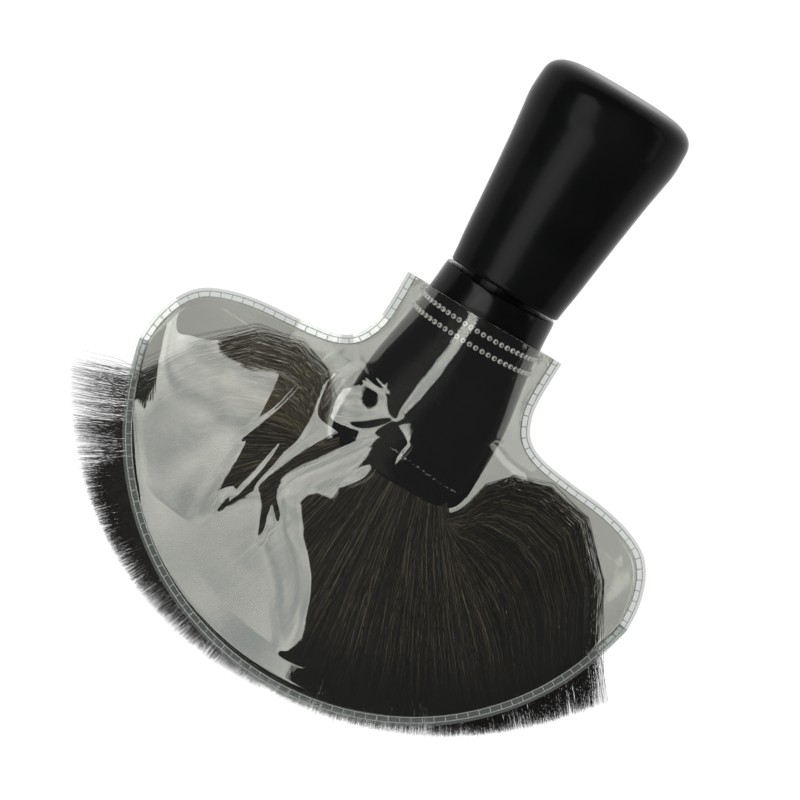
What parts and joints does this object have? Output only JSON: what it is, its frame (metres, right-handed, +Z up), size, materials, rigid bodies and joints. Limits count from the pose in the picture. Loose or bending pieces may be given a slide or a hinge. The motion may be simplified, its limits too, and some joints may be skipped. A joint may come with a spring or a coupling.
{
  "type": "neck duster brush",
  "caption": "Black barber's neck duster with a flared handle, two bands of small stones round its ferrule and a wide flat fan of dark bristles in a clear ladder-edged PVC cover.",
  "frame": {"origin": "under the middle of the whole, on the table that the brush lies on", "axes": "+Y along the brush towards the end of the handle, -Y towards the tips of the bristles, +X across the fan, +Z up from the table"},
  "size_m": [0.15, 0.174, 0.0414],
  "materials": {
    "handle_black": "satin",
    "tenon_dark": "stained dark",
    "ferrule_black": "gloss",
    "potting_resin": "cast",
    "binding_cord": "waxed cord",
    "stone_trim": "faceted, silver backed",
    "bristle": "fine dark brown fibre",
    "cover_film": "clear smoke-tinted film",
    "cover_weld": "pressed ladder pattern"
  },
  "bodies": {
    "brush": {"handle": "handle_black", "handle_tenon": "tenon_dark", "ferrule": "ferrule_black", "potting_plug": "potting_resin", "binding_cord": "binding_cord", "bristle_root": "bristle", "bristles_middle": "bristle", "bristles_left": "bristle", "bristles_right": "bristle", "stone_band_upper": "stone_trim", "stone_band_lower": "stone_trim"},
    "cover": {"cover_front_film": "cover_film", "cover_back_film": "cover_film", "cover_weld_left": "cover_weld", "cover_weld_right": "cover_weld", "cover_hem_front": "cover_weld", "cover_hem_back": "cover_weld"}
  },
  "joints": [
    {"name": "cover_slide", "type": "slide", "parent": "brush", "child": "cover", "axis": [0, -1, 0], "range_m": [0, 0.12], "deforming": ["cover_front_film", "cover_back_film", "bristles_middle", "bristles_left", "bristles_right"]}
  ]
}
